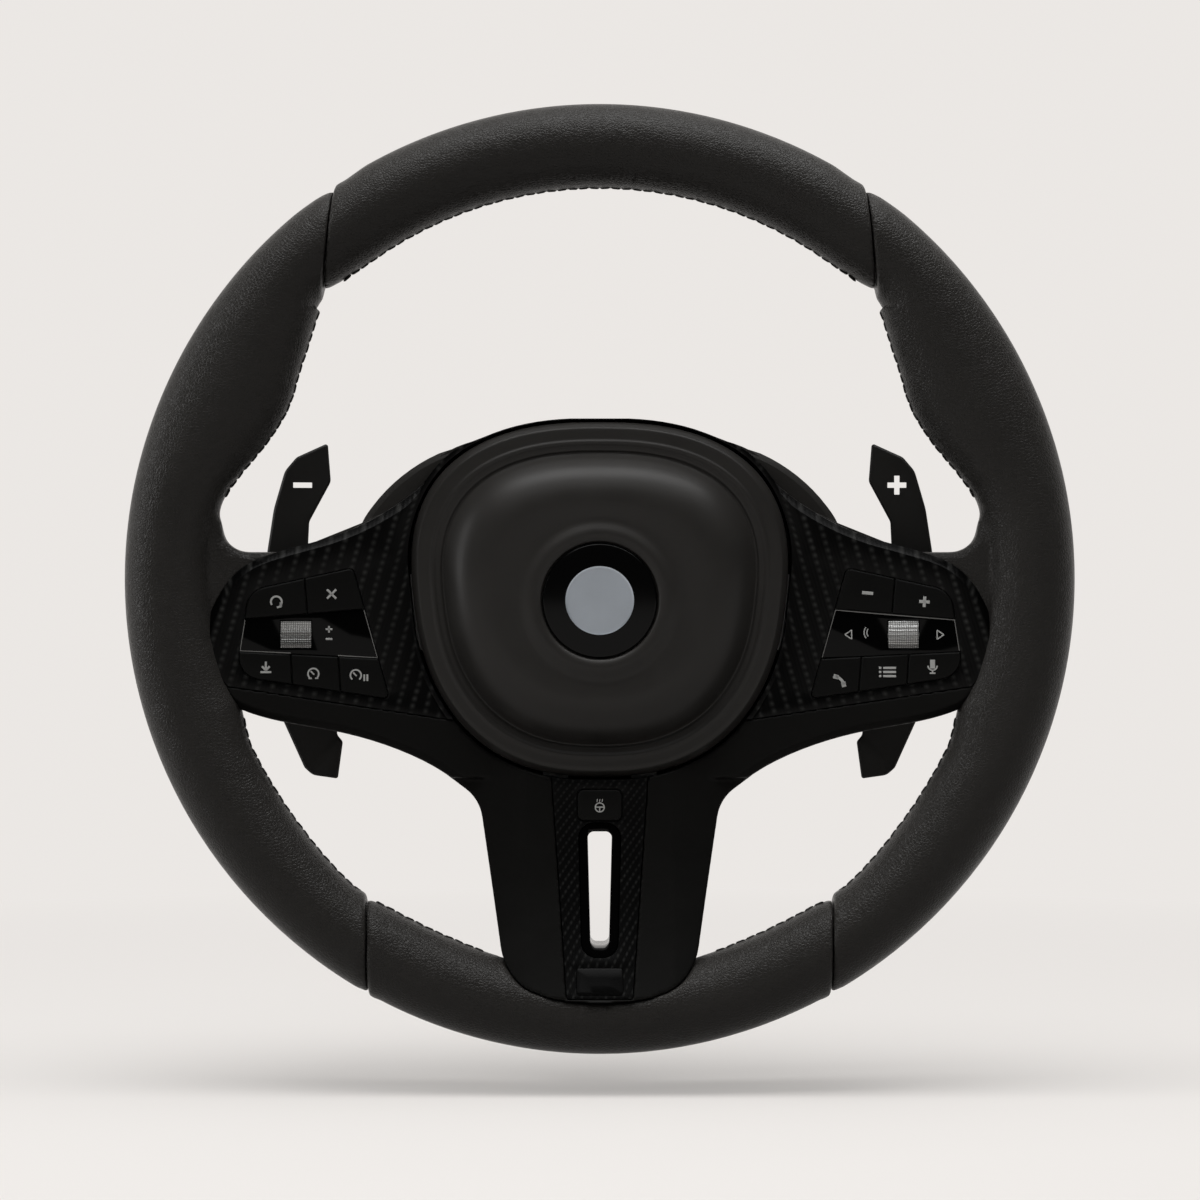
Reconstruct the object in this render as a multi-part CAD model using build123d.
from build123d import *

import os
from math import copysign, cos, pi, radians, sin, tan

# Car steering wheel in millimetres. The origin is on the steering axis, at the rear mouth of the hub bore.
# +X points to the driver's right, +Z up, and +Y from the driver towards the steering column.

# General fits
FIT = 0.3                  # gap between pieces that are clipped or laid together
RUNNING_FIT = 0.06         # radial play of a pin in its bearing
REACH = 200.0              # length of a tool that cuts right through

# Leather rim
RIM_OUTER_R = 185.0
RIM_THICKNESS = 32.6
RIM_INNER_R = RIM_OUTER_R - RIM_THICKNESS
RIM_Y = -62.0              # mid-plane of the rim
THUMB_REST = 14.0          # how far a thumb rest swells inwards
THUMB_ANGLE = 27.5         # its middle, above the spokes
THUMB_SPREAD = 17.5        # half of the angle that it takes up
THUMB_FULLNESS = 1.5
THUMB_SECTIONS = 9
TOP_SEAM_X = 105.0
BOTTOM_SEAM_X = 90.0
SEAM_GAP = 0.4
SEAM_BEVEL = 1.5           # width and depth of the leather's turned-in end

# Cast armature and hub
RING_WIDTH = 11.0          # ring section, radially
RING_DEPTH = 9.0
BAR_THICKNESS = 6.0
BAR_TOP = 2.0
BAR_HEIGHT = 30.0
LEG_X = 17.5               # middle of each lower leg
LEG_WIDTH = 10.0
HUB_PLATE_R = 46.0
HUB_PLATE_BACK = -12.0
HUB_PLATE_THICKNESS = 9.0
BOSS_R = 17.0
BOSS_LENGTH = 24.0
BOSS_BEVEL = 0.8
BORE_R = 8.75
LIGHTENING_R = 8.0
LIGHTENING_PLACES = ((18.0, 27.0), (-18.0, 27.0))
LUG_R = 7.5                # post around each airbag guide pin
LUG_FRONT_Y = -33.0

# Airbag module
AIRBAG_HALF_W = 73.0
AIRBAG_HALF_H = 69.6
AIRBAG_Z = -7.9
AIRBAG_POWER = 2.457       # superellipse exponent of the outline
AIRBAG_TAPER = 0.10        # narrowing towards the bottom
OVAL_SIDES = 12            # straight sides of an oval outline
OVAL_ROUND = 0.97          # share of each side that its arcs take up
AIRBAG_RING_Y = -60.0      # front of the flat border
AIRBAG_SKIRT = 12.0
AIRBAG_WALL = 2.6
AIRBAG_PLAY = 0.9          # gap between the cover and the trim around it
BORDER_BEVEL = 1.6
GROOVE_AT = 6.8            # groove in the border, from the outline
GROOVE_WIDTH = 1.8
GROOVE_DEPTH = 1.2
DOME_AT = 12.8             # foot of the dome, from the outline
DOME_RISE = 10.0           # crown of the dome in front of the border
DOME_SAG = 2.5             # fall from the crown to the shoulder of the dome
DOME_ROLL = ((0, -1), (0, 0), (1.2, 3), (4, 5.8), (8, 7.6), (12, 8.7), (22, 10.5))   # inset, rise
DOME_HOLLOW = 8.0          # edge of the hollow behind the dome, from the dome's foot
EMBLEM_Z = -8.4
EMBLEM_R = 22.2
EMBLEM_THICKNESS = 3.2
EMBLEM_SINK = 2.0          # depth of the emblem's seat under the crown
SWELL_R = 27.0             # crest of the swelling around the emblem
SWELL_WIDTH = 5.0          # half of its width
SWELL_RISE = 1.6
CAN_DEPTH = 5.0
CAN_WALL = 1.5
CAN_INSET = 1.0            # how far the tray ends inside the cover's skirt
INFLATOR_R = 33.0
INFLATOR_DEPTH = 22.0
INFLATOR_PROUD = 12.0      # how far the inflator stands out behind the tray
FLANGE_WIDTH = 7.0
CUSHION_MARGIN = 22.0
PIN_R = 3.0
PIN_HEAD_R = 4.6
PIN_HEAD = 2.0
PIN_PLACES = ((0.0, 40.0), (36.0, -42.0), (-36.0, -42.0))
BUFFER_R = 6.5

# Right spoke, in its own tilted frame: u outwards along the spoke, w up, depth behind its face
SPOKE_TILT = 8.0
SPOKE_Y = -49.0            # where the tilted face meets the steering axis
POD_LAP = 2.7              # lap of the carbon over the leather
POD_TIP = RIM_INNER_R + POD_LAP
POD_PLATE = 3.0
POD_SKIRT = 13.6
POD_SKIRT_WALL = 2.6
POD_BEVEL = 2.6
FACET_DEPTH = 2.2          # slanting facet of the carbon beside the airbag cover
FACET_SLANT = 64.0
POD_NOSE = ((-5.6, -40.9), (0.0, -25.0), (-4.8, -9.0), (-14.2, 3.6), (-27.7, 10.1))
POD_SHOULDER = ((30.6, 17.0), (10.7, 26.5), (-11.7, 45.6))
POD_FOOT = (-13.4, -54.8)
WEB_REACH = 35.4           # length of the leather web, inwards from the rim
SPOKE_BODY_U = RIM_INNER_R - WEB_REACH
BAND_WIDTH = 2.6           # carbon band around the top of the airbag cover
BAND_FRONT_Y = -57.6

# Leather web between the grip and the spoke
WEB_TOP = 10.6
WEB_BOTTOM = -46.0
WEB_BACK = 23.4
WEB_LAP = 8.0              # how far the web enters the grip
WEB_NOTCH_FROM = -14.4     # arc of the thumb notch, from the rim's inner edge
WEB_NOTCH_END = (-4.0, 23.0)
WEB_ROUND = 3.5

# Switch cluster of a spoke, from its lower outer corner
CLUSTER_FROM_TIP = 12.7
CLUSTER_CORNERS = ((-45.2, 4.2), (-5.1, -4.6), (0.0, -37.5), (-59.4, -46.7))
CLUSTER_ROUNDS = (2.0, 9.0, 8.5, 1.5)
KEY_GAP = 0.4
KEY_PROUD = 0.7
KEY_CAP = 3.2
KEY_BEVEL = 0.4
KEY_POST = (4.0, 2.0)
KEY_POST_LENGTH = 5.5
PANEL_SINK = 0.4
PANEL_THICKNESS = 2.2
PANEL_ROOM = 1.4           # free depth behind the keys and the panel
HOUSING_MARGIN = 3.0
HOUSING_BACK = 11.8
BOARD_THICKNESS = 1.6
ROLLER_U = -23.2           # middle of the roller, from the cluster's corner
ROLLER_W = -21.6
ROLLER_R = 6.7
ROLLER_WIDTH = 11.7
ROLLER_TEETH = 28
ROLLER_TOOTH = 0.45
ROLLER_WINDOW = 10.8
ROLLER_AXIS = 4.6          # depth of the axle behind the spoke's face
AXLE_R = 1.2
AXLE_SPARE = 2.5           # how far the axle enters the housing at each end
CRADLE = (4.0, 7.0)        # rib that holds each end of the axle

# Lower spoke, whose face curves forward to the rim and is crowned across
LOWER_TOP_Z = -70.0
LOWER_TOP_Y = -59.0
LOWER_RISE = 15.6          # how far the face comes forward from its top to the rim's inner edge
LOWER_CROWN_R = 500.0
FOLD_X = 29.0              # fold along each side of the lower spoke
FOLD_SLOPE = 14.0
LOWER_SWEEP = 45.0         # angle of the curve, longer than needed
LOWER_HALF_W = 59.5
LOWER_DEPTH = 16.0
LOWER_WALL = 2.6
LOWER_COVER_DEPTH = 26.0
LIP_DROP = 0.25            # line between the carbon and the lower trim
LIP_DEPTH = 8.0
LIP_NOSE = ((-7.6, -45.0), (-10.8, -48.6), (-14.8, -50.8))
LIP_EDGE = ((30.6, -59.5), (7.0, -66.5), (-14.7, -77.9))
LIP_BEVEL = 3.0
LEG_TOP_X = 69.8
LEG_WAIST = (47.2, -86.4)
LEG_ROUND = 16.0
FOOT = ((37.8, 5.2), (31.5, -4.6), (19.0, -9.5))   # foot on the rim, from the rim's inner edge
FOOT_DROP = 11.3
FOOT_ROUNDS = (20.0, 16.0, 40.0, 100.0)
INSERT_TOP_X = 19.3
INSERT_FOOT_X = 12.6
INSERT_FOOT_DROP = 9.2
INSERT_THICKNESS = 6.0
INSERT_FLOOR = 2.2
HEATER_SIZE = (17.2, 12.0)
HEATER_Z = -88.3
HEATER_ROUND = 2.4
HEATER_PROUD = 1.2
HEATER_CAP = 6.0
HEATER_TRAVEL = 1.0
HEATER_SWITCH_DEPTH = 9.0
SLOT_TOP = (4.8, -98.6)
SLOT_FOOT = (3.6, 9.4)      # its lower end, above the rim's inner edge
SLOT_ROUND = 2.5
SLOT_WALL = 1.6
SLOT_FRAME = 3.4           # visible width of the frame beside the slot
SLOT_SINK = 1.2
SLOT_FLANGE = 3.5
BADGE_SIZE = (17.8, 9.6)
BADGE_DROP = 2.8           # its middle, under the rim's inner edge
BADGE_PROUD = 0.5
BADGE_SEAT = 1.2

# Rear cover
COVER_FLANGE = (97.0, 72.8, -11.2, 2.3)   # half width, half height, middle and exponent of the shoulders
COVER_FLANGE_Y = -43.4
COVER_FLANGE_THICKNESS = 3.5
COVER_BEVEL = 2.4
COVER_WALL = 2.4
COVER_BACK_Y = -2.0
BOWL_BACK_GROW = -14.0     # back of the bowl, from the airbag cover's outline
BOWL_TAPER = 25.0
COVER_OPENING_R = 30.0
ARM_TOP = ((60.0, 36.0), (88.0, 22.2), (SPOKE_BODY_U, 11.4))
ARM_FOOT = ((SPOKE_BODY_U, -54.4), (93.0, -60.6), (60.0, -70.0))
ARM_ROUND = 3.0
ARM_BACK = 26.4
SCREW_R = 2.0
SCREW_HEAD_R = 4.0
SCREW_HEAD = 2.0
SCREW_PLACES = ((33.0, 19.0), (-33.0, 19.0), (0.0, -41.0))
SCREW_POST_R = 4.2

# Shift paddle, in the right spoke's frame, from its hinge outwards
HINGE_FROM_WEB = 30.0
HINGE_U = SPOKE_BODY_U - HINGE_FROM_WEB
PADDLE_DEPTH = 30.0
PADDLE_THICKNESS = 3.6
PADDLE_OUTLINE = (
    (26.0, 14.4), (25.4, 5.0), (17.0, 0.0), (0.0, 0.0), (0.0, -36.0), (5.0, -36.0), (10.0, -50.0),
    (15.0, -61.4), (12.2, -64.7), (14.2, -79.5), (24.2, -78.0), (27.4, -75.1), (36.0, -56.0),
    (43.4, -25.0), (42.2, 11.0), (39.6, 28.1), (35.2, 43.3), (30.6, 48.7), (18.2, 54.4),
    (17.0, 39.0), (25.6, 23.0),
)
PADDLE_ROUNDS = (4.0, 6.0, 6.0, 0.0, 0.0, 1.0, 6.0, 3.0, 2.0, 1.0, 5.0, 3.0, 12.0, 30.0,
                 20.0, 30.0, 8.0, 4.0, 1.0, 4.0, 4.0)
PADDLE_BEVEL = 0.8
PADDLE_MARK_AT = (28.2, 37.6)
PADDLE_MARK_LENGTH = 7.6
PADDLE_MARK_WIDTH = 2.2
HINGE_TOP = 0.0
HINGE_LENGTH = 36.0
HINGE_R = 4.0
HINGE_PIN_R = 1.6
EAR_THICKNESS = 4.0
EAR_WIDTH = 9.0
BRACKET_WIDTH = 15.0
BRACKET_BASE = 3.0
BRACKET_SCREW_W = (-10.0, -26.0)
BRACKET_SCREW_R = 1.5
BRACKET_SCREW_HEAD_R = 2.8
BRACKET_SCREW_HEAD = 1.5
BRACKET_SCREW_LENGTH = 7.0

SIDE_U = AIRBAG_HALF_W
FOOT_U = SIDE_U + POD_FOOT[0]
CLUSTER_U = POD_TIP - CLUSTER_FROM_TIP
BAR_DEPTH = HOUSING_BACK + BOARD_THICKNESS + 1.1
BAND_BACK_Y = COVER_FLANGE_Y - FIT
HUB_PLATE_FRONT = HUB_PLATE_BACK - HUB_PLATE_THICKNESS
RING_MID_R = (RIM_OUTER_R + RIM_INNER_R) / 2
RIM_SECTION_R = (RIM_OUTER_R - RIM_INNER_R) / 2
CAN_BACK_Y = AIRBAG_RING_Y + AIRBAG_SKIRT - CAN_INSET
INFLATOR_BACK_Y = CAN_BACK_Y + INFLATOR_PROUD
BADGE_Z = -RIM_INNER_R - BADGE_DROP
LOWER_RUN = RIM_INNER_R + LOWER_TOP_Z
LOWER_CURVE_R = (LOWER_RUN ** 2 + LOWER_RISE ** 2) / (2 * LOWER_RISE)


def front(y):
    """Sketch plane at depth y that faces the driver: local x is X and local y is Z."""
    return Plane.XZ.offset(-y)


def spoke(depth):
    """Sketch plane of the right spoke at a depth behind its face: local x is u and local y is w."""
    t = radians(SPOKE_TILT)
    origin = (depth * sin(t), SPOKE_Y + depth * cos(t), 0)
    return Plane(origin=origin, x_dir=(cos(t), -sin(t), 0), z_dir=(-sin(t), -cos(t), 0))


def slab(face, plane, depth):
    """Solid that reaches from a sketch plane backwards, away from the driver."""
    return extrude(plane * face, amount=depth, dir=-plane.z_dir)


def polygon(points):
    """Face with straight sides."""
    return make_face(Polyline(*points, close=True))


def rounded(points, radii):
    """Face with straight sides and rounded corners."""
    return make_face(FilletPolyline(*points, radius=radii, close=True))


def oval(half_w, half_h, middle, power, taper):
    """Face of straight sides and arcs around a superellipse that narrows downwards."""
    def at(a):
        rise = copysign(abs(sin(a)) ** (2 / power), sin(a))
        reach = copysign(abs(cos(a)) ** (2 / power), cos(a)) * (1 + taper * rise)
        return Vector(half_w * reach, middle + half_h * rise)

    angles = [2 * pi * i / OVAL_SIDES for i in range(OVAL_SIDES)]
    touch = [at(a) for a in angles]
    along = [(at(a + 0.01) - at(a - 0.01)).normalized() for a in angles]
    corners, rounds = [], []
    for i in range(OVAL_SIDES):
        j = (i + 1) % OVAL_SIDES
        length = (touch[j] - touch[i]).cross(along[j]).Z / along[i].cross(along[j]).Z
        corner = touch[i] + along[i] * length
        shorter = min(length, (touch[j] - corner).length)
        corners.append((corner.X, corner.Y))
        rounds.append(OVAL_ROUND * shorter / tan(along[i].get_angle(along[j]) * pi / 360))
    return rounded(corners, rounds)


def airbag_face(grow):
    """Face of the airbag cover's outline, grown by a margin."""
    return oval(AIRBAG_HALF_W + grow, AIRBAG_HALF_H + grow, AIRBAG_Z, AIRBAG_POWER, AIRBAG_TAPER)


def disc(x, z, radius, y_front, y_back):
    """Round bar along the steering axis."""
    return slab(Pos(x, z) * Circle(radius), front(y_front), y_back - y_front)


def both_sides(piece):
    """A right-hand solid together with its mirror image."""
    return piece + mirror(piece, about=Plane.YZ)


def rim_plane(angle):
    """Section plane of the rim at an angle above the driver's right: local x points outwards."""
    a = radians(angle)
    return Plane(origin=(0, RIM_Y, 0), x_dir=(cos(a), 0, sin(a)), z_dir=(-sin(a), 0, cos(a)))


def rim_arc(start, turn, grow):
    """Length of the round rim from a start angle, upwards from the right, grown by a margin."""
    section = rim_plane(start) * Pos(RING_MID_R, 0) * Circle(RIM_SECTION_R + grow)
    return revolve(section, axis=Axis((0, 0, 0), (0, -1, 0)), revolution_arc=turn)


def ring(clearance):
    """Cast ring inside the rim, or the channel for it."""
    section = Pos(RING_MID_R, 0) * Rectangle(RING_WIDTH + 2 * clearance, RING_DEPTH + 2 * clearance)
    return revolve(rim_plane(0) * section, axis=Axis.Y)


def thumb_rest(grow):
    """Length of the right grip that swells inwards to an oval section for the thumb."""
    sections = []
    for i in range(THUMB_SECTIONS):
        share = 2 * i / (THUMB_SECTIONS - 1) - 1
        swell = THUMB_REST * max(cos(pi / 2 * share), 0) ** THUMB_FULLNESS / 2
        section = Pos(RING_MID_R - swell, 0) * Ellipse(RIM_SECTION_R + swell + grow, RIM_SECTION_R + grow)
        sections.append(rim_plane(THUMB_ANGLE + THUMB_SPREAD * share) * section)
    return loft(sections)


def grip_tube(grow):
    """Tube of the right grip with its thumb rest, longer than needed at both ends."""
    low, high = THUMB_ANGLE - THUMB_SPREAD, THUMB_ANGLE + THUMB_SPREAD
    return rim_arc(low - 75, 75, grow) + thumb_rest(grow) + rim_arc(high, 14, grow)


def web_face():
    """Outline of the leather web that joins the right grip to the spoke."""
    u = RIM_INNER_R
    start = SPOKE_BODY_U + FIT
    end = (u + WEB_NOTCH_END[0], WEB_NOTCH_END[1])
    notch = TangentArc((u + WEB_NOTCH_FROM, WEB_TOP), end, tangent=(1, 0))
    rest = Polyline(
        notch @ 1,
        (u + WEB_LAP, WEB_NOTCH_END[1]),
        (u + WEB_LAP, WEB_BOTTOM - 6),
        (start, WEB_BOTTOM),
        (start, WEB_TOP),
        notch @ 0,
    )
    return make_face(notch + rest)


def bar_path():
    """Middle line of the right spoke bar, seen from above."""
    t = radians(SPOKE_TILT)
    mid = BAR_DEPTH + BAR_THICKNESS / 2
    rise = HUB_PLATE_BACK - HUB_PLATE_THICKNESS / 2

    def at(u):
        return (u * cos(t) + mid * sin(t), SPOKE_Y - u * sin(t) + mid * cos(t))

    hub = [(HUB_PLATE_R - 18, rise), (HUB_PLATE_R - 4, rise)]
    return Polyline(*hub, at(HUB_PLATE_R + 12), at(RING_MID_R + 2))


def spoke_bar(clearance):
    """Right spoke of the armature, or the channel for it."""
    flat = trace(bar_path(), BAR_THICKNESS + 2 * clearance)
    low = BAR_TOP - BAR_HEIGHT - clearance
    return extrude(Pos(0, 0, low) * flat, amount=BAR_HEIGHT + 2 * clearance, dir=(0, 0, 1))


def lower_leg(clearance):
    """Right lower leg of the armature, or the channel for it."""
    rise = HUB_PLATE_BACK - HUB_PLATE_THICKNESS / 2
    back = LOWER_TOP_Y + LOWER_DEPTH + BAR_THICKNESS / 2 + 0.5
    path = Polyline(
        (rise, -HUB_PLATE_R + 14),
        (rise, -HUB_PLATE_R + 2),
        (back, LOWER_TOP_Z),
        (RIM_Y + 5, -RING_MID_R),
    )
    flat = trace(path, BAR_THICKNESS + 2 * clearance)
    width = LEG_WIDTH + 2 * clearance
    return extrude(Plane.YZ.offset(LEG_X - width / 2) * flat, amount=width, dir=(1, 0, 0))


def half_space(x, z):
    """Room on one side of a seam at x, on the upper or the lower half of the rim."""
    return Pos(x + REACH / 2, RIM_Y, z) * Box(REACH, REACH, 2 * RIM_OUTER_R)


def sleeve(start, turn, half, z):
    """Length of the leather rim between two seams, with its ends turned in."""
    room = Pos(0, RIM_Y, z)
    tube = rim_arc(start, turn, 0) & room * Box(2 * (half - SEAM_BEVEL), REACH, 2 * RIM_OUTER_R)
    return tube + (rim_arc(start, turn, -SEAM_BEVEL) & room * Box(2 * half, REACH, 2 * RIM_OUTER_R))


def make_rim_top():
    """Upper length of the leather rim."""
    return sleeve(30, 120, TOP_SEAM_X - SEAM_GAP / 2, RIM_OUTER_R) - ring(FIT)


def make_rim_bottom():
    """Lower length of the leather rim, with the seat for the lower spoke's foot."""
    tube = sleeve(205, 130, BOTTOM_SEAM_X - SEAM_GAP / 2, -RIM_OUTER_R)
    return tube - foot_seat(FIT) - ring(FIT) - both_sides(lower_leg(FIT))


def make_web():
    """Leather web between the right grip and the spoke, rounded along its upper and lower sides."""
    start = POD_PLATE + FIT
    web = slab(web_face(), spoke(start), WEB_BACK - start)
    long_edges = []
    for edge in web.edges():
        us = [spoke(0).to_local_coords(edge @ t).X for t in (0, 1)]
        if max(us) - min(us) > 1 and min(us) < RIM_INNER_R - 5:
            long_edges.append(edge)
    web = fillet(long_edges, WEB_ROUND)
    tip = POD_TIP + POD_NOSE[0][0] + FIT
    under = polygon(((0, -REACH), (FOOT_U, POD_FOOT[1] + FIT), (tip, POD_NOSE[0][1] + FIT), (tip, -REACH)))
    web -= slab(under, spoke(0), LIP_DEPTH + FIT)
    return web - slab(cluster_face(HOUSING_MARGIN + FIT), spoke(0), HOUSING_BACK + BOARD_THICKNESS + FIT)


def make_right_grip():
    """Right grip with its thumb rest and the web that runs into the spoke."""
    top = TOP_SEAM_X + SEAM_GAP / 2
    low = BOTTOM_SEAM_X + SEAM_GAP / 2
    outer = half_space(top + SEAM_BEVEL, RIM_OUTER_R) + half_space(low + SEAM_BEVEL, -RIM_OUTER_R)
    inner = half_space(top, RIM_OUTER_R) + half_space(low, -RIM_OUTER_R)
    tube = (grip_tube(0) & outer) + (grip_tube(-SEAM_BEVEL) & inner)
    return tube + make_web() - ring(FIT) - spoke_bar(FIT)


def cluster_face(grow):
    """Outline of the right switch cluster, grown by a margin."""
    points = [(CLUSTER_U + u, w) for u, w in CLUSTER_CORNERS]
    face = rounded(points, list(CLUSTER_ROUNDS))
    return offset(face, grow) if grow else face


def make_armature():
    """Cast frame: ring, two spokes, two lower legs and the hub plate with its lightening holes."""
    plate = disc(0, 0, HUB_PLATE_R, HUB_PLATE_FRONT, HUB_PLATE_BACK)
    for x, z in PIN_PLACES:
        plate += slab(trace(Line((0, 0), (x, z)), 2 * LUG_R), front(HUB_PLATE_FRONT), HUB_PLATE_THICKNESS)
        plate += disc(x, z, LUG_R, LUG_FRONT_Y, HUB_PLATE_BACK)
    for x, z in LIGHTENING_PLACES:
        plate -= disc(x, z, LIGHTENING_R, HUB_PLATE_FRONT, HUB_PLATE_BACK)
    frame = ring(0) + plate + both_sides(spoke_bar(0)) + both_sides(lower_leg(0))
    frame -= disc(0, 0, BOSS_R + RUNNING_FIT, -REACH, REACH)
    for x, z in PIN_PLACES:
        frame -= disc(x, z, PIN_R + RUNNING_FIT, LUG_FRONT_Y, HUB_PLATE_BACK)
    for x, z in SCREW_PLACES:
        frame -= disc(x, z, SCREW_R + RUNNING_FIT, HUB_PLATE_FRONT, HUB_PLATE_BACK)
    return frame - both_sides(bracket_screws(RUNNING_FIT))


def make_hub_boss():
    """Steel insert whose bore takes the end of the column."""
    body = disc(0, 0, BOSS_R, -BOSS_LENGTH, 0)
    body = chamfer(body.edges().filter_by(GeomType.CIRCLE).sort_by(Axis.Y)[-1], BOSS_BEVEL)
    return body - disc(0, 0, BORE_R, -BOSS_LENGTH, 0)


def pod_top():
    """Upper edge of the right spoke face, from its foot on the rim round the nose to the shoulder."""
    nose = [(POD_TIP + u, w) for u, w in POD_NOSE]
    shoulder = [(SIDE_U + u, w) for u, w in POD_SHOULDER]
    return Spline(*nose, *shoulder)


def pod_face():
    """Outline of the right spoke face, running in behind the airbag cover."""
    top = pod_top()
    back = Polyline(top @ 1, (SIDE_U - 25, 30), (SIDE_U - 25, -45), (FOOT_U, POD_FOOT[1]), top @ 0)
    return make_face(top + back)


def hollow_spoke(face):
    """Part of a spoke outline that lies between the hub and the leather web."""
    return face & Pos((FOOT_U + SPOKE_BODY_U) / 2, 0) * Rectangle(SPOKE_BODY_U - FOOT_U, REACH)


def front_edges(solid, plane):
    """Outer edges of a slab's face towards the driver, the longest first."""
    face = max(solid.faces(), key=lambda f: plane.to_local_coords(f.center()).Z)
    return sorted(face.outer_wire().edges(), key=lambda e: -e.length)


def airbag_facet():
    """Tool for the slanting facet of the right spoke face beside the airbag cover."""
    face = spoke(FACET_DEPTH) * airbag_face(AIRBAG_PLAY)
    return extrude(face, amount=FACET_DEPTH + FIT, taper=-FACET_SLANT)


def make_upper_trim():
    """Carbon bezel: both spoke faces and the band around the top of the airbag cover, in one piece."""
    face = pod_face()
    plate = slab(face, spoke(0), POD_PLATE)
    plate = chamfer(front_edges(plate, spoke(0))[0], POD_BEVEL)
    skirt = slab(hollow_spoke(face - Pos(0, -POD_SKIRT_WALL) * face), spoke(POD_PLATE), POD_SKIRT - POD_PLATE)
    pod = plate + skirt - slab(cluster_face(KEY_GAP), spoke(-REACH), 2 * REACH) - grip_tube(FIT)
    pod -= airbag_facet()
    band = slab(airbag_face(BAND_WIDTH), front(BAND_FRONT_Y), BAND_BACK_Y - BAND_FRONT_Y)
    band -= Pos(0, 0, POD_FOOT[1] - REACH / 2) * Box(4 * FOOT_U, REACH, REACH)
    band -= both_sides(slab(offset(arm_face(), FIT), spoke(POD_SKIRT), REACH))
    trim = band + both_sides(pod)
    return trim - airbag_room()


def cluster_region(points):
    """Part of the right switch cluster inside a polygon, less half of the gap between keys."""
    region = polygon([(CLUSTER_U + u, w) for u, w in points])
    return cluster_face(0) & offset(region, -KEY_GAP / 2)


def key_faces():
    """Faces of the right switch cluster by place."""
    left, right, top, low = -70.0, 10.0, 20.0, -55.0
    upper = ((left, -10.1), (-27.6, -13.6), (right, -16.7))
    lower = ((left, -31.8), (-39.5, -30.2), (-21.1, -29.2), (right, -27.6))
    return {
        "upper_outer": cluster_region(((-24.8, top), (right, top), upper[2], upper[1])),
        "upper_inner": cluster_region(((left, top), (-24.8, top), upper[1], upper[0])),
        "panel": cluster_region((upper[0], upper[1], upper[2], lower[3], lower[2], lower[1], lower[0])),
        "lower_outer": cluster_region((lower[2], lower[3], (right, low), (-22.6, low))),
        "lower_middle": cluster_region((lower[1], lower[2], (-22.6, low), (-41.3, low))),
        "lower_inner": cluster_region((lower[0], lower[1], (-41.3, low), (left, low))),
    }


def key_post(face, clearance):
    """Guide post behind a key, or the slot for it."""
    at = face.center()
    foot = Rectangle(KEY_POST[0] + 2 * clearance, KEY_POST[1] + 2 * clearance)
    start = KEY_CAP - KEY_PROUD
    return slab(Pos(at.X, at.Y) * foot, spoke(start), KEY_POST_LENGTH + (REACH if clearance else 0))


def make_key(face):
    """Key with a bevelled cap and its guide post."""
    cap = slab(face, spoke(-KEY_PROUD), KEY_CAP)
    front_face = max(cap.faces(), key=lambda f: spoke(0).to_local_coords(f.center()).Z)
    cap = chamfer(front_face.edges(), KEY_BEVEL)
    return cap + key_post(face, 0)


def roller_plane(along):
    """Section plane of the roller: local x points back from the spoke's face and local y up."""
    face = spoke(ROLLER_AXIS)
    origin = face.from_local_coords(Vector(CLUSTER_U + ROLLER_U + along, ROLLER_W, 0))
    return Plane(origin=origin, x_dir=-face.z_dir, z_dir=-face.x_dir)


def roller_bar(face, width):
    """Solid of a section along the roller's axle, centred on the roller."""
    plane = roller_plane(width / 2)
    return extrude(plane * face, amount=width, dir=plane.z_dir)


def make_roller():
    """Knurled roller on its axle."""
    points = []
    for i in range(2 * ROLLER_TEETH):
        r = ROLLER_R - ROLLER_TOOTH * (i % 2)
        a = pi * i / ROLLER_TEETH
        points.append((r * cos(a), r * sin(a)))
    return roller_bar(polygon(points) - Circle(AXLE_R + RUNNING_FIT), ROLLER_WIDTH)


def make_rocker():
    """Rocker with two ribbed pads and a plain valley between them."""
    valley, pad, ribs = 9.0, 50.0, 5
    root = ROLLER_R - 1.2
    points = []
    for side in (-1, 1):
        start, end = (pad, valley) if side < 0 else (valley, pad)
        points.append((-root * cos(radians(start)), side * root * sin(radians(start))))
        for i in range(2 * ribs + 1):
            a = radians(start + (end - start) * i / (2 * ribs))
            r = ROLLER_R - ROLLER_TOOTH * (i % 2)
            points.append((-r * cos(a), side * r * sin(a)))
        points.append((-root * cos(radians(end)), side * root * sin(radians(end))))
    points += [(root * 0.6, root * 0.6), (root * 0.6, -root * 0.6)]
    return roller_bar(polygon(points) - Circle(AXLE_R + RUNNING_FIT), ROLLER_WIDTH)


def make_axle():
    """Pin that carries the roller or the rocker in the housing."""
    return roller_bar(Circle(AXLE_R), ROLLER_WIDTH + 2 * AXLE_SPARE)


def roller_window():
    """Cut-out of the gloss panel around the roller."""
    size = Rectangle(ROLLER_WIDTH + 2 * FIT, ROLLER_WINDOW)
    return slab(Pos(CLUSTER_U + ROLLER_U, ROLLER_W) * size, spoke(-REACH), 2 * REACH)


def make_panel(face):
    """Gloss panel between the upper and the lower keys, hollowed behind its window for the roller."""
    panel = slab(face, spoke(PANEL_SINK), PANEL_THICKNESS) - roller_window()
    return panel - roller_bar(Circle(ROLLER_R + FIT), ROLLER_WIDTH + 2 * FIT)


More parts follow.
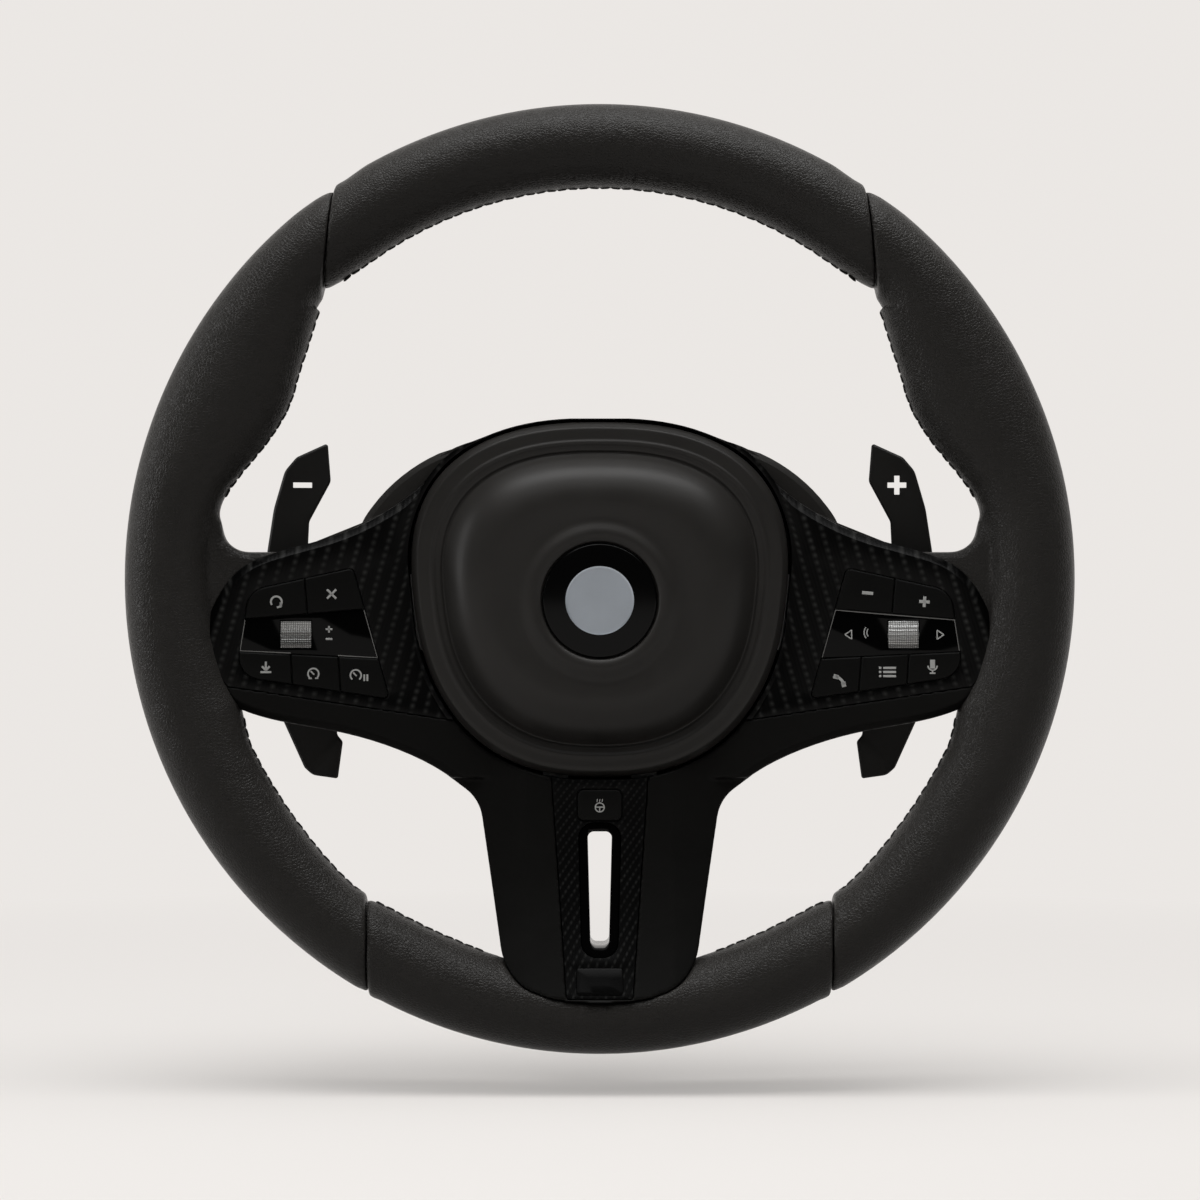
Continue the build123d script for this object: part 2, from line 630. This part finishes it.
def make_housing(faces):
    """Switch housing: a block with slots for the key posts, a bay for the roller and cradles for its axle."""
    block = slab(cluster_face(HOUSING_MARGIN), spoke(POD_PLATE), HOUSING_BACK - POD_PLATE)
    panel_back = PANEL_SINK + PANEL_THICKNESS
    floor = panel_back + PANEL_ROOM
    block -= slab(cluster_face(KEY_GAP), spoke(POD_PLATE), floor - POD_PLATE)
    for place, face in faces.items():
        if place != "panel":
            block -= key_post(face, FIT)
    bay_width = ROLLER_WIDTH + 2 * FIT
    for side in (-1, 1):
        at = Pos(CLUSTER_U + ROLLER_U + side * (bay_width + CRADLE[0]) / 2, ROLLER_W)
        block += slab(at * Rectangle(*CRADLE), spoke(panel_back + FIT), PANEL_ROOM - FIT)
    block -= roller_bar(Circle(ROLLER_R + FIT), bay_width)
    mouth = Pos(-ROLLER_R, 0) * Rectangle(2 * ROLLER_R, 2 * (ROLLER_R + FIT))
    block -= roller_bar(mouth, bay_width)
    return block - make_axle()


def make_board():
    """Circuit board behind the switch housing."""
    return slab(cluster_face(HOUSING_MARGIN), spoke(HOUSING_BACK), BOARD_THICKNESS)


def right_switches():
    """All pieces of the right switch cluster by name."""
    faces = key_faces()
    pieces = {place: make_key(face) for place, face in faces.items() if place != "panel"}
    pieces["panel"] = make_panel(faces["panel"])
    pieces["housing"] = make_housing(faces)
    pieces["board"] = make_board()
    pieces["roller"] = make_roller()
    pieces["rocker"] = make_rocker()
    pieces["axle"] = make_axle()
    return pieces


def lip_face():
    """Outline of the lower trim under the right spoke."""
    start = (POD_TIP + POD_NOSE[0][0], POD_NOSE[0][1] - LIP_DROP)
    nose = [(POD_TIP + u, w) for u, w in LIP_NOSE]
    edge = [(SIDE_U + u, w) for u, w in LIP_EDGE]
    low = Spline(start, *nose, *edge)
    foot = (FOOT_U, POD_FOOT[1] - LIP_DROP)
    rest = Polyline(low @ 1, (SIDE_U - 33, LIP_EDGE[-1][1]), (SIDE_U - 33, foot[1]), foot, start)
    return make_face(low + rest)


def lower_sweep(face):
    """Section of the lower spoke at its top, swept along the curve of its face."""
    axis = Axis((0, LOWER_TOP_Y - LOWER_CURVE_R, LOWER_TOP_Z), (-1, 0, 0))
    return revolve(Pos(0, 0, LOWER_TOP_Z) * face, axis=axis, revolution_arc=LOWER_SWEEP)


def lower_body(near, far, half_w):
    """Lower spoke between two depths behind its face, crowned and folded back in front and flat behind."""
    y = LOWER_TOP_Y + near
    mid = min(half_w, FOLD_X)
    drop = LOWER_CROWN_R - (LOWER_CROWN_R ** 2 - mid ** 2) ** 0.5
    edge = y + drop + (half_w - mid) * tan(radians(FOLD_SLOPE))
    back = max(LOWER_TOP_Y + far, edge + 0.1)
    arc = ThreePointArc((-mid, y + drop), (0, y), (mid, y + drop))
    right = [(half_w, edge)] if half_w > mid else []
    left = [(-half_w, edge)] if half_w > mid else []
    rest = Polyline(arc @ 1, *right, (half_w, back), (-half_w, back), *left, arc @ 0)
    return lower_sweep(make_face(arc + rest))


def lower_slice(near, far):
    """Lower spoke between two depths behind its face, flat across on both sides."""
    middle = LOWER_TOP_Y + (near + far) / 2
    return lower_sweep(Pos(0, middle) * Rectangle(2 * LEG_TOP_X + 1, far - near))


def through(face):
    """Tool that cuts a front outline right through."""
    return slab(face, front(-REACH), 2 * REACH)


def leg_face(inset):
    """Front outline of the lower spoke with its foot on the rim, drawn in by a margin."""
    right = [(LEG_TOP_X, LOWER_TOP_Z), LEG_WAIST] + [(x, z - RIM_INNER_R) for x, z in FOOT]
    left = [(-x, z) for x, z in reversed(right)]
    rounds = [0, LEG_ROUND] + list(FOOT_ROUNDS)
    face = rounded(right + [(0, -RIM_INNER_R - FOOT_DROP)] + left, rounds + rounds[-2::-1])
    return offset(face, -inset) if inset else face


def foot_seat(clearance):
    """Foot of the lower spoke where it lies in the leather rim, or the seat for it."""
    body = lower_body(-REACH / 4, INSERT_THICKNESS + FIT + clearance, LEG_WAIST[0])
    return body & through(leg_face(-clearance))


def insert_face(grow):
    """Front outline of the carbon strip of the lower spoke."""
    foot_z = -RIM_INNER_R - INSERT_FOOT_DROP - grow
    top_x, foot_x = INSERT_TOP_X + grow, INSERT_FOOT_X + grow
    return polygon(((-top_x, LOWER_TOP_Z + 1), (top_x, LOWER_TOP_Z + 1), (foot_x, foot_z), (-foot_x, foot_z)))


def slot_face(grow):
    """Front outline of the see-through slot, grown by a margin."""
    top_x, top_z = SLOT_TOP
    foot_x, foot_z = SLOT_FOOT[0], SLOT_FOOT[1] - RIM_INNER_R
    face = rounded(((-top_x, top_z), (top_x, top_z), (foot_x, foot_z), (-foot_x, foot_z)), SLOT_ROUND)
    return offset(face, grow) if grow else face


def heater_face(grow):
    """Front outline of the heating button."""
    width, height = HEATER_SIZE
    return Pos(0, HEATER_Z) * RectangleRounded(width + 2 * grow, height + 2 * grow, HEATER_ROUND + grow)


def heater_block(grow):
    """Front outline of the switch behind the heating button."""
    width, height = HEATER_SIZE
    return Pos(0, HEATER_Z) * Rectangle(width + 3 + 2 * grow, height + 5 + 2 * grow)


def badge_face(grow):
    """Front outline of the bare plaque."""
    width, height = BADGE_SIZE
    return Pos(0, BADGE_Z) * RectangleRounded(width + 2 * grow, height + 2 * grow, 1.0 + grow)


def rim_bottom_room():
    """Room that the lower spoke leaves for the leather rim."""
    return rim_arc(205, 130, FIT)


def airbag_room():
    """Room that the trim leaves for the airbag cover."""
    return through(airbag_face(AIRBAG_PLAY))


def make_lower_trim():
    """Matte moulding under both spokes and down both sides of the lower spoke."""
    face = lip_face()
    lip = slab(face, spoke(0), LIP_DEPTH)
    lip = chamfer(front_edges(lip, spoke(0))[0], LIP_BEVEL)
    skirt = hollow_spoke(face - Pos(0, POD_SKIRT_WALL) * face)
    lip += slab(skirt, spoke(LIP_DEPTH), POD_SKIRT - LIP_DEPTH)
    lip -= grip_tube(FIT)
    shell = lower_body(0, LOWER_DEPTH, LOWER_HALF_W) & through(leg_face(0))
    shell -= lower_body(LOWER_WALL, LOWER_DEPTH + 1, LOWER_HALF_W) & through(leg_face(LOWER_WALL))
    seat = INSERT_THICKNESS + FIT
    shell += lower_slice(LOWER_WALL / 2, seat + INSERT_FLOOR) & through(insert_face(LOWER_WALL) & leg_face(0))
    shell -= lower_body(-REACH / 4, seat, INSERT_TOP_X + 1) & through(insert_face(FIT))
    trim = shell + both_sides(lip)
    trim -= through(heater_block(FIT)) + through(slot_face(SLOT_WALL + FIT))
    return trim - airbag_room() - (rim_bottom_room() - foot_seat(0))


def make_lower_insert():
    """Carbon strip of the lower spoke, with the openings for the button, the slot frame and the plaque."""
    strip = lower_body(0, INSERT_THICKNESS, INSERT_TOP_X) & through(insert_face(0))
    strip -= through(heater_face(FIT)) + through(slot_face(SLOT_FRAME + FIT))
    strip -= lower_body(-REACH / 4, BADGE_SEAT, BADGE_SIZE[0]) & through(badge_face(FIT / 2))
    return strip - airbag_room()


def make_slot_bezel():
    """Gloss frame around the slot, with the duct that lines it to the back."""
    half_w = SLOT_TOP[0] + SLOT_FRAME
    flange = lower_body(SLOT_SINK, SLOT_SINK + SLOT_FLANGE, half_w) & through(slot_face(SLOT_FRAME))
    duct = lower_body(SLOT_SINK, LOWER_COVER_DEPTH, half_w) & through(slot_face(SLOT_WALL))
    return flange + duct - through(slot_face(0))


def make_badge_plate():
    """Bare plaque at the foot of the lower spoke."""
    return lower_body(-BADGE_PROUD, BADGE_SEAT, BADGE_SIZE[0]) & through(badge_face(0))


def heater_front():
    """Depth of the lower spoke's face at the heating button."""
    return LOWER_TOP_Y - (HEATER_Z - LOWER_TOP_Z) ** 2 / (2 * LOWER_CURVE_R)


def make_heater_key():
    """Heating button with its guide post."""
    start = heater_front() - HEATER_PROUD
    cap = slab(heater_face(0), front(start), HEATER_CAP)
    cap = chamfer(cap.faces().sort_by(Axis.Y)[0].edges(), KEY_BEVEL)
    post = Pos(0, HEATER_Z) * Rectangle(KEY_POST[0], KEY_POST[1])
    return cap + slab(post, front(start + HEATER_CAP), KEY_POST_LENGTH)


def make_heater_switch():
    """Switch behind the heating button, with the slot for its post."""
    start = LOWER_TOP_Y + INSERT_THICKNESS + FIT
    block = slab(heater_block(0), front(start), HEATER_SWITCH_DEPTH)
    slot = Pos(0, HEATER_Z) * Rectangle(KEY_POST[0] + 2 * FIT, KEY_POST[1] + 2 * FIT)
    depth = KEY_POST_LENGTH + HEATER_TRAVEL
    return block - slab(slot, front(start), depth)


def arm_face():
    """Outline of the rear cover behind the right spoke."""
    return rounded(ARM_TOP + ARM_FOOT, [0, 12.0, ARM_ROUND, ARM_ROUND, 0, 0])


def cover_bowl(inset):
    """Bowl of the rear cover, which widens towards the driver, or its hollow."""
    back = COVER_BACK_Y - inset
    face = airbag_face(BOWL_BACK_GROW + inset * tan(radians(BOWL_TAPER)) - inset / cos(radians(BOWL_TAPER)))
    return extrude(front(back) * face, amount=back - COVER_FLANGE_Y - (-1 if inset else 1), taper=-BOWL_TAPER)


def make_rear_cover():
    """Rear moulding: a bowl behind the hub with shoulders and an arm behind each spoke."""
    flange = slab(oval(*COVER_FLANGE, 0), front(COVER_FLANGE_Y), COVER_FLANGE_THICKNESS)
    flange = chamfer(front_edges(flange, front(COVER_FLANGE_Y)), COVER_BEVEL)
    bowl = cover_bowl(0)
    arm = slab(arm_face(), spoke(POD_SKIRT + FIT), ARM_BACK - POD_SKIRT - FIT)
    leg = lower_slice(LOWER_DEPTH + FIT, LOWER_COVER_DEPTH) & through(leg_face(COVER_BEVEL / 2))
    cover = flange + bowl + both_sides(arm) + leg
    cover -= cover_bowl(COVER_WALL)
    bay = offset(arm_face(), -COVER_WALL) + Pos(SIDE_U - 18, -15) * Rectangle(40, 60)
    cover -= both_sides(slab(bay, spoke(POD_SKIRT), ARM_BACK - COVER_WALL - POD_SKIRT))
    hollow = leg_face(COVER_BEVEL / 2 + COVER_WALL)
    cover -= lower_slice(0, LOWER_COVER_DEPTH - COVER_WALL) & through(hollow)
    cover -= lower_slice(-REACH / 4, LOWER_DEPTH + FIT) & through(leg_face(-FIT))
    cover -= both_sides(spoke_bar(FIT)) + both_sides(lower_leg(FIT))
    for x, z in SCREW_PLACES:
        cover += disc(x, z, SCREW_POST_R, HUB_PLATE_BACK, COVER_BACK_Y)
        cover -= disc(x, z, SCREW_R + FIT, HUB_PLATE_BACK, COVER_BACK_Y)
        cover -= disc(x, z, SCREW_HEAD_R + FIT, COVER_BACK_Y - SCREW_HEAD, COVER_BACK_Y)
    cover -= disc(0, 0, COVER_OPENING_R, -REACH, REACH) & front(HUB_PLATE_BACK) * Box(REACH, REACH, REACH)
    cover -= through(slot_face(SLOT_WALL + FIT))
    cover -= both_sides(bracket_ears(2 * FIT))
    return cover - rim_bottom_room()


def cover_screws():
    """Screws that hold the rear cover to the hub plate, as one group."""
    screws = []
    for x, z in SCREW_PLACES:
        head = disc(x, z, SCREW_HEAD_R, COVER_BACK_Y - SCREW_HEAD, COVER_BACK_Y)
        screws.append(head + disc(x, z, SCREW_R, HUB_PLATE_FRONT + 1, COVER_BACK_Y - SCREW_HEAD))
    return Compound(screws)


def hinge_bar(face, top, length):
    """Upright solid of a section around the right paddle's hinge."""
    t = radians(SPOKE_TILT)
    depth = PADDLE_DEPTH + PADDLE_THICKNESS / 2
    at = spoke(depth).from_local_coords(Vector(HINGE_U, 0, 0))
    plane = Plane(origin=(at.X, at.Y, top), x_dir=(cos(t), -sin(t), 0), z_dir=(0, 0, 1))
    return extrude(plane * face, amount=length, dir=(0, 0, -1))


def make_paddle(marks):
    """Shift paddle with its hinge barrel and the sign cut through its upper wing."""
    outline = [(HINGE_U + u, w) for u, w in PADDLE_OUTLINE]
    plate = slab(rounded(outline, list(PADDLE_ROUNDS)), spoke(PADDLE_DEPTH), PADDLE_THICKNESS)
    front_face = max(plate.faces(), key=lambda f: spoke(0).to_local_coords(f.center()).Z)
    plate = chamfer(front_face.edges(), PADDLE_BEVEL)
    plate += hinge_bar(Circle(HINGE_R), HINGE_TOP, HINGE_LENGTH)
    for width, height in marks:
        mark = Pos(HINGE_U + PADDLE_MARK_AT[0], PADDLE_MARK_AT[1]) * Rectangle(width, height)
        plate -= slab(mark, spoke(0), REACH)
    return plate - hinge_bar(Circle(HINGE_PIN_R + RUNNING_FIT), REACH, 2 * REACH)


def bracket_ears(clearance):
    """Two ears of the right paddle bracket, or the windows for them."""
    back = PADDLE_DEPTH + PADDLE_THICKNESS / 2 + HINGE_R
    start = BAR_DEPTH + BAR_THICKNESS
    face = Rectangle(EAR_WIDTH + 2 * clearance, EAR_THICKNESS + 2 * clearance)
    upper = Pos(HINGE_U, HINGE_TOP + FIT + EAR_THICKNESS / 2) * face
    lower = Pos(HINGE_U, HINGE_TOP - HINGE_LENGTH - FIT - EAR_THICKNESS / 2) * face
    return slab(upper, spoke(start), back - start) + slab(lower, spoke(start), back - start)


def bracket_screws(clearance):
    """Two screws of the right paddle bracket, or the holes for them."""
    base_back = BAR_DEPTH + BAR_THICKNESS + BRACKET_BASE
    screws = []
    for w in BRACKET_SCREW_W:
        at = Pos(HINGE_U, w)
        face = at * Circle(BRACKET_SCREW_HEAD_R + clearance)
        head = slab(face, spoke(base_back - BRACKET_SCREW_HEAD), BRACKET_SCREW_HEAD)
        length = BRACKET_SCREW_LENGTH - BRACKET_SCREW_HEAD
        start = base_back - BRACKET_SCREW_LENGTH
        screws.append(head + slab(at * Circle(BRACKET_SCREW_R + clearance), spoke(start), length))
    return Compound(screws)


def make_bracket():
    """Paddle bracket on the back of the spoke bar."""
    height = HINGE_LENGTH + 2 * (EAR_THICKNESS + FIT)
    base = Pos(HINGE_U, HINGE_TOP - HINGE_LENGTH / 2) * Rectangle(BRACKET_WIDTH, height)
    bracket = slab(base, spoke(BAR_DEPTH + BAR_THICKNESS), BRACKET_BASE) + bracket_ears(0)
    return bracket - hinge_bar(Circle(HINGE_PIN_R), REACH, 2 * REACH) - bracket_screws(RUNNING_FIT)


def make_hinge_pin():
    """Pin of the right paddle's hinge, held in both ears."""
    spare = EAR_THICKNESS + FIT
    return hinge_bar(Circle(HINGE_PIN_R), HINGE_TOP + spare, HINGE_LENGTH + 2 * spare)


def make_swelling(crown):
    """Raised ring around the emblem on the crown of the dome."""
    half, top = SWELL_WIDTH, crown - SWELL_RISE
    profile = polygon((
        (SWELL_R - half, crown + DOME_SAG / 2),
        (SWELL_R - half / 2, top + SWELL_RISE / 3),
        (SWELL_R, top),
        (SWELL_R + half / 2, top + SWELL_RISE / 3),
        (SWELL_R + half, crown + DOME_SAG / 2),
    ))
    return revolve(Pos(0, 0, EMBLEM_Z) * profile, axis=Axis((0, 0, EMBLEM_Z), (0, 1, 0)))


def make_airbag_cover():
    """Airbag cover: grooved border, domed middle and a swelling around the emblem, hollow behind."""
    border = front(AIRBAG_RING_Y)
    crown = AIRBAG_RING_Y - DOME_RISE
    skirt = slab(airbag_face(0), border, AIRBAG_SKIRT)
    skirt = chamfer(front_edges(skirt, border), BORDER_BEVEL)
    skirt -= slab(airbag_face(-GROOVE_AT) - airbag_face(-GROOVE_AT - GROOVE_WIDTH), border, GROOVE_DEPTH)
    ball_r = ((AIRBAG_HALF_W - DOME_AT) ** 2 + DOME_SAG ** 2) / (2 * DOME_SAG)
    rings = [front(AIRBAG_RING_Y - rise) * airbag_face(-DOME_AT - inset) for inset, rise in DOME_ROLL]
    dome = loft(rings, ruled=True) & Pos(0, crown + ball_r, AIRBAG_Z) * Sphere(ball_r)
    cover = skirt + dome + make_swelling(crown)
    cover -= disc(0, EMBLEM_Z, EMBLEM_R + FIT / 2, -REACH, crown + EMBLEM_SINK)
    cover -= slab(airbag_face(-AIRBAG_WALL), front(AIRBAG_RING_Y + AIRBAG_WALL), REACH)
    return cover - slab(airbag_face(-DOME_AT - DOME_HOLLOW), front(crown + DOME_SAG + AIRBAG_WALL), REACH)


def make_emblem_cap():
    """Plain round cap in the middle of the airbag cover."""
    seat = AIRBAG_RING_Y - DOME_RISE + EMBLEM_SINK
    cap = disc(0, EMBLEM_Z, EMBLEM_R, seat - EMBLEM_THICKNESS, seat)
    return chamfer(cap.faces().sort_by(Axis.Y)[0].edges(), 0.6)


def make_airbag_can():
    """Metal tray behind the cushion, with the hole for the inflator."""
    grow = -AIRBAG_WALL - FIT
    start = CAN_BACK_Y - CAN_DEPTH
    tray = slab(airbag_face(grow), front(start), CAN_DEPTH)
    tray -= slab(airbag_face(grow - CAN_WALL), front(start), CAN_DEPTH - CAN_WALL)
    return tray - disc(0, EMBLEM_Z, INFLATOR_R + FIT, -REACH, REACH)


def make_inflator():
    """Gas generator with the flange that clamps it to the tray."""
    floor = CAN_BACK_Y - CAN_WALL
    body = disc(0, EMBLEM_Z, INFLATOR_R, INFLATOR_BACK_Y - INFLATOR_DEPTH, INFLATOR_BACK_Y)
    return body + disc(0, EMBLEM_Z, INFLATOR_R + FLANGE_WIDTH, floor - CAN_WALL, floor)


def make_airbag_cushion():
    """Folded cushion between the cover and the tray."""
    start = AIRBAG_RING_Y - DOME_RISE + DOME_SAG + AIRBAG_WALL + FIT
    end = CAN_BACK_Y - 2 * CAN_WALL - FIT
    pack = slab(airbag_face(-CUSHION_MARGIN), front(start), end - start)
    return pack - disc(0, EMBLEM_Z, INFLATOR_R + FIT, INFLATOR_BACK_Y - INFLATOR_DEPTH - FIT, REACH)


def guide_pins():
    """Pins that guide the airbag module in the hub plate, as one group."""
    pins = []
    for x, z in PIN_PLACES:
        shank = disc(x, z, PIN_R, CAN_BACK_Y, HUB_PLATE_BACK)
        pins.append(shank + disc(x, z, PIN_HEAD_R, HUB_PLATE_BACK, HUB_PLATE_BACK + PIN_HEAD))
    return Compound(pins)


def horn_buffers():
    """Rubber buffers that push the airbag module forward, as one group."""
    rings = []
    for x, z in PIN_PLACES:
        outer = disc(x, z, BUFFER_R, CAN_BACK_Y, LUG_FRONT_Y)
        rings.append(outer - disc(x, z, PIN_R + FIT, CAN_BACK_Y, LUG_FRONT_Y))
    return Compound(rings)


def paddle_screws():
    """Screws of both paddle brackets, as one group."""
    right = bracket_screws(0)
    return Compound(right.solids() + mirror(right, about=Plane.YZ).solids())


def all_parts():
    """Every node of the wheel by name."""
    minus = ((PADDLE_MARK_LENGTH, PADDLE_MARK_WIDTH),)
    plus = minus + ((PADDLE_MARK_WIDTH, PADDLE_MARK_LENGTH),)
    grip = make_right_grip()
    switches = right_switches()
    parts = {
        "hub_boss": make_hub_boss(),
        "armature": make_armature(),
        "rim_top": make_rim_top(),
        "rim_bottom": make_rim_bottom(),
        "rim_right_grip": grip,
        "rim_left_grip": mirror(grip, about=Plane.YZ),
        "upper_trim": make_upper_trim(),
        "lower_trim": make_lower_trim(),
        "lower_insert": make_lower_insert(),
        "slot_bezel": make_slot_bezel(),
        "badge_plate": make_badge_plate(),
        "heater_key": make_heater_key(),
        "heater_switch": make_heater_switch(),
        "rear_cover": make_rear_cover(),
        "cover_screws": cover_screws(),
        "right_paddle": make_paddle(plus),
        "left_paddle": mirror(make_paddle(minus), about=Plane.YZ),
        "paddle_screws": paddle_screws(),
        "airbag_cover": make_airbag_cover(),
        "emblem_cap": make_emblem_cap(),
        "airbag_can": make_airbag_can(),
        "airbag_cushion": make_airbag_cushion(),
        "inflator": make_inflator(),
        "guide_pins": guide_pins(),
        "horn_buffers": horn_buffers(),
    }
    right_names = {
        "upper_outer": "right_key_plus", "upper_inner": "right_key_minus", "lower_outer": "right_key_voice",
        "lower_middle": "right_key_list", "lower_inner": "right_key_phone", "panel": "right_panel",
        "housing": "right_housing", "board": "right_board", "roller": "right_roller",
        "axle": "right_roller_pin",
    }
    left_names = {
        "upper_outer": "left_key_resume", "upper_inner": "left_key_cancel", "lower_outer": "left_key_set",
        "lower_middle": "left_key_cruise", "lower_inner": "left_key_limit", "panel": "left_panel",
        "housing": "left_housing", "board": "left_board", "rocker": "left_rocker", "axle": "left_rocker_pin",
    }
    right_only = {"paddle_bracket": make_bracket(), "paddle_pin": make_hinge_pin()}
    for place, name in right_names.items():
        parts[name] = switches[place]
    for place, name in left_names.items():
        parts[name] = mirror(switches[place], about=Plane.YZ)
    for name, solid in right_only.items():
        parts["right_" + name] = solid
        parts["left_" + name] = mirror(solid, about=Plane.YZ)
    return parts


if __name__ == "__main__":
    os.makedirs("parts", exist_ok=True)
    for node, solid in all_parts().items():
        export_step(solid, f"parts/{node}.step")
